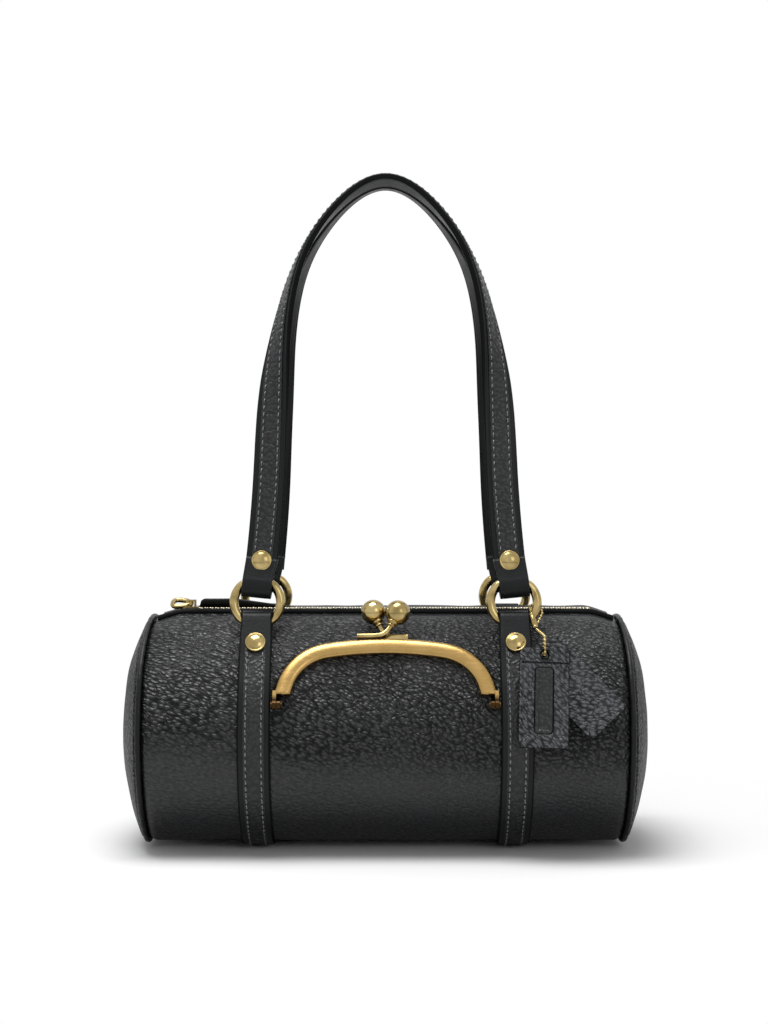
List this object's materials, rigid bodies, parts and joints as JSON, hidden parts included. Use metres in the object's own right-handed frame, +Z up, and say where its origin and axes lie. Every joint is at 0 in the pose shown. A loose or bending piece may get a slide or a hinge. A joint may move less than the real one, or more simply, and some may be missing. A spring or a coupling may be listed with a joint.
{
  "type": "barrel bag",
  "caption": "Small cylindrical leather shoulder bag with a zipped top, arched kiss-lock coin pocket in front, ring-hung twin handles and hanging leather tags.",
  "frame": {"origin": "on the floor under the middle of the whole bag's box", "axes": "+X along the barrel to the viewer's right, front of the bag towards -Y, +Z up"},
  "size_m": [0.2688, 0.1343, 0.3453],
  "materials": {
    "black_leather": "pebbled satin black",
    "satin_brass": "satin antique brass",
    "lining_fabric": "woven black lining",
    "zip_tape": "woven black tape",
    "stiffener": "stiff board"
  },
  "bodies": {
    "bag_body": {"body_panel": "black_leather", "left_end_panel": "black_leather", "right_end_panel": "black_leather", "left_piping": "black_leather", "right_piping": "black_leather", "base_board": "stiffener", "lining": "lining_fabric", "front_zip_facing": "black_leather", "rear_zip_facing": "black_leather", "front_zip_tape": "zip_tape", "rear_zip_tape": "zip_tape", "front_zip_teeth": "satin_brass", "rear_zip_teeth": "satin_brass", "zip_top_stops": "satin_brass", "zip_bottom_stop": "satin_brass", "coin_pouch": "lining_fabric", "kisslock_rear_frame": "satin_brass", "kisslock_hinge_pins": "satin_brass", "rear_clasp": "satin_brass", "left_body_strap": "black_leather", "right_body_strap": "black_leather", "left_strap_overlay": "black_leather", "right_strap_overlay": "black_leather", "strap_rivets": "satin_brass"},
    "zip_slider": {"zip_slider": "satin_brass"},
    "zip_pull": {"zip_pull": "satin_brass"},
    "kisslock_front": {"kisslock_front_frame": "satin_brass", "front_clasp": "satin_brass", "coin_flap": "black_leather"},
    "front_left_ring": {"front_left_ring": "satin_brass"},
    "front_right_ring": {"front_right_ring": "satin_brass"},
    "rear_left_ring": {"rear_left_ring": "satin_brass"},
    "rear_right_ring": {"rear_right_ring": "satin_brass"},
    "front_handle": {"front_handle_strap": "black_leather", "front_handle_overlay": "black_leather", "front_handle_rivets": "satin_brass"},
    "rear_handle": {"rear_handle_strap": "black_leather", "rear_handle_overlay": "black_leather", "rear_handle_rivets": "satin_brass"},
    "tag_chain": {"tag_chain": "satin_brass", "chain_connector": "satin_brass"},
    "front_tag": {"front_tag": "black_leather"},
    "rear_tag": {"rear_tag": "black_leather"}
  },
  "joints": [
    {"name": "zip_slide", "type": "slide", "parent": "bag_body", "child": "zip_slider", "axis": [1, 0, 0], "range_m": [0, 0.2], "deforming": ["front_zip_tape", "rear_zip_tape", "front_zip_teeth", "rear_zip_teeth"]},
    {"name": "zip_pull_swing", "type": "hinge", "parent": "zip_slider", "child": "zip_pull", "pos_m": [-0.1015, 0.00324, 0.12275], "axis": [0, 1, 0], "range_deg": [0, 160]},
    {"name": "kisslock_open", "type": "hinge", "parent": "bag_body", "child": "kisslock_front", "pos_m": [0, -0.05863, 0.07676], "axis": [1, 0, 0], "range_deg": [0, 55]},
    {"name": "front_ring_swing", "type": "hinge", "parent": "bag_body", "child": "front_left_ring", "pos_m": [-0.0645, -0.03177, 0.11597], "axis": [1, 0, 0], "range_deg": [0, 80]},
    {"name": "front_right_ring_swing", "type": "hinge", "parent": "bag_body", "child": "front_right_ring", "pos_m": [0.0645, -0.03177, 0.11597], "axis": [1, 0, 0], "range_deg": [0, 80]},
    {"name": "front_handle_swing", "type": "hinge", "parent": "front_left_ring", "child": "front_handle", "pos_m": [-0.0645, -0.02962, 0.13464], "axis": [1, 0, 0], "range_deg": [0, 50]},
    {"name": "rear_ring_swing", "type": "hinge", "parent": "bag_body", "child": "rear_left_ring", "pos_m": [-0.0645, 0.03824, 0.11597], "axis": [1, 0, 0], "range_deg": [-80, 0]},
    {"name": "rear_right_ring_swing", "type": "hinge", "parent": "bag_body", "child": "rear_right_ring", "pos_m": [0.0645, 0.03824, 0.11597], "axis": [1, 0, 0], "range_deg": [-80, 0]},
    {"name": "rear_handle_swing", "type": "hinge", "parent": "rear_left_ring", "child": "rear_handle", "pos_m": [-0.0645, 0.03609, 0.13464], "axis": [1, 0, 0], "range_deg": [-50, 0]},
    {"name": "chain_hang", "type": "hinge", "parent": "front_right_ring", "child": "tag_chain", "pos_m": [0.07552, -0.03114, 0.12146], "axis": [1, 0, 0], "range_deg": [-80, 0]},
    {"name": "front_tag_swing", "type": "hinge", "parent": "tag_chain", "child": "front_tag", "pos_m": [0.0776, -0.05474, 0.1005], "axis": [0, -0.9703, 0.2419], "range_deg": [-8, 25]},
    {"name": "rear_tag_swing", "type": "hinge", "parent": "tag_chain", "child": "rear_tag", "pos_m": [0.0776, -0.05474, 0.1005], "axis": [0, -0.9703, 0.2419], "range_deg": [-30, 10]}
  ],
  "couplings": [
    {"joint": "front_right_ring_swing", "follows": "front_ring_swing", "ratio": 1},
    {"joint": "rear_right_ring_swing", "follows": "rear_ring_swing", "ratio": 1},
    {"joint": "chain_hang", "follows": "front_ring_swing", "ratio": -1}
  ]
}
